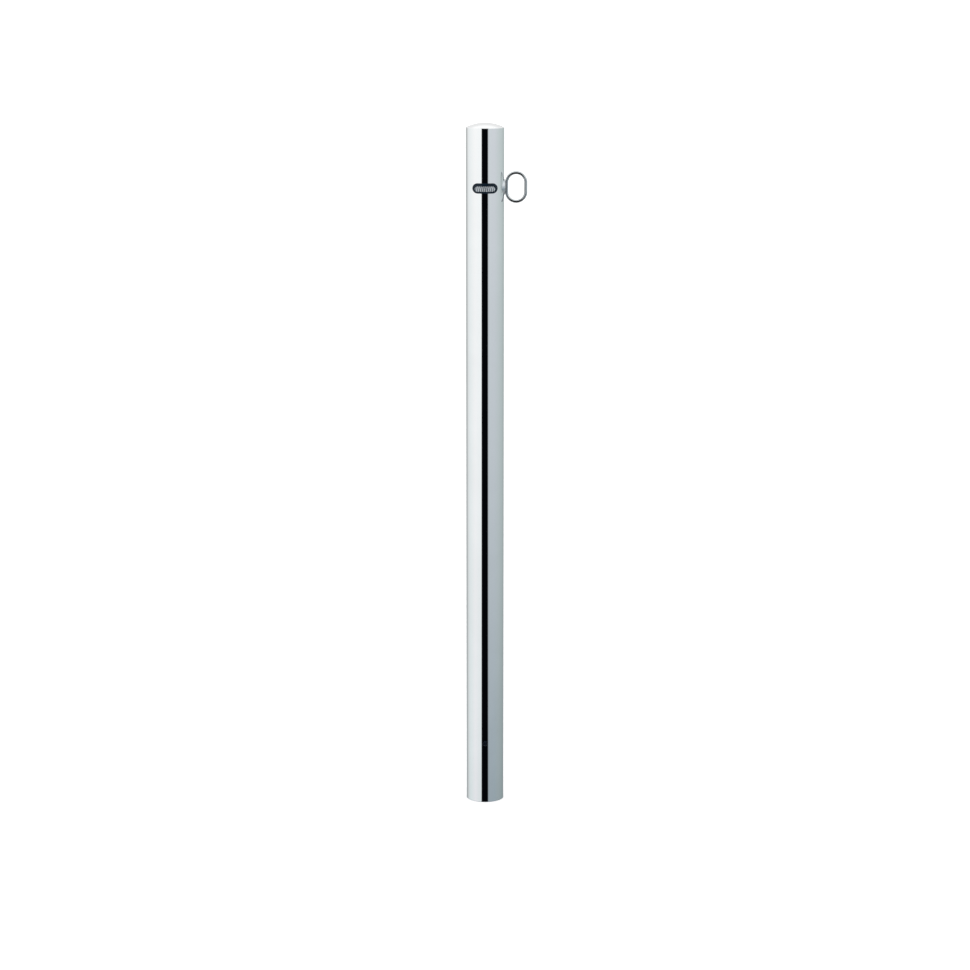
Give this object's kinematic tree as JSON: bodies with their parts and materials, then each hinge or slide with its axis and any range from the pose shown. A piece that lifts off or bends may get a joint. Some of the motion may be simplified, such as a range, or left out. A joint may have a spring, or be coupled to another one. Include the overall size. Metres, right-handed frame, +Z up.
{
  "type": "chain bollard post",
  "caption": "Cast-in round bollard post in polished steel with a domed cap, a reflective badge and a side ring that pulls out a weighted chain.",
  "frame": {"origin": "on the post's axis at ground level, 250 mm above the post's lower end", "axes": "+Z up along the post, +X out of the side outlet towards the ring, -Y the side that carries the badge"},
  "size_m": [0.0967, 0.0613, 1.1],
  "materials": {
    "mirror_stainless": "mirror-polished stainless steel",
    "turned_stainless": "fine turned stainless steel, polished face",
    "zinc_steel": "zinc-plated steel",
    "chain_steel": "bright welded steel wire",
    "weight_iron": "machined iron, dull zinc plate",
    "navy_enamel": "gloss dark navy enamel",
    "reflective_strip": "silver ribbed reflective sheeting"
  },
  "bodies": {
    "post": {"post_tube": "mirror_stainless", "top_cap": "mirror_stainless", "store_floor": "zinc_steel", "outlet_bush": "turned_stainless", "outlet_nut": "zinc_steel", "badge": "navy_enamel", "badge_strip": "reflective_strip"},
    "pull": {"outlet_plug": "turned_stainless", "plug_eye": "chain_steel", "pull_ring": "mirror_stainless", "chain_link_01": "chain_steel"},
    "turning_link": {"chain_link_02": "chain_steel"},
    "hanging_chain": {"chain_link_03": "chain_steel", "chain_link_04": "chain_steel", "chain_link_05": "chain_steel", "chain_link_06": "chain_steel", "chain_link_07": "chain_steel", "chain_link_08": "chain_steel", "chain_link_09": "chain_steel", "chain_link_10": "chain_steel", "chain_link_11": "chain_steel", "chain_link_12": "chain_steel", "chain_link_13": "chain_steel", "chain_link_14": "chain_steel", "chain_link_15": "chain_steel", "chain_link_16": "chain_steel", "chain_link_17": "chain_steel", "chain_link_18": "chain_steel", "chain_link_19": "chain_steel", "chain_link_20": "chain_steel", "chain_link_21": "chain_steel", "chain_link_22": "chain_steel", "chain_link_23": "chain_steel", "chain_link_24": "chain_steel", "chain_link_25": "chain_steel", "chain_link_26": "chain_steel", "chain_link_27": "chain_steel", "chain_link_28": "chain_steel", "chain_link_29": "chain_steel", "chain_link_30": "chain_steel", "chain_link_31": "chain_steel", "chain_link_32": "chain_steel", "chain_link_33": "chain_steel", "chain_link_34": "chain_steel", "weight_eye": "chain_steel", "stop_weight": "weight_iron"}
  },
  "joints": [
    {"name": "chain_pull", "type": "slide", "parent": "post", "child": "pull", "axis": [1, 0, 0], "range_m": [0, 0.0199]},
    {"name": "link_turn", "type": "hinge", "parent": "pull", "child": "turning_link", "pos_m": [-0.0042, 0, 0.75], "axis": [0, 1, 0], "range_deg": [0, 90]},
    {"name": "hang_turn", "type": "hinge", "parent": "turning_link", "child": "hanging_chain", "pos_m": [-0.0042, 0, 0.7301], "axis": [0, 1, 0], "range_deg": [-90, 0]}
  ],
  "couplings": [
    {"joint": "link_turn", "follows": "chain_pull", "rad_per_m": 78.93},
    {"joint": "hang_turn", "follows": "chain_pull", "rad_per_m": -78.93}
  ]
}
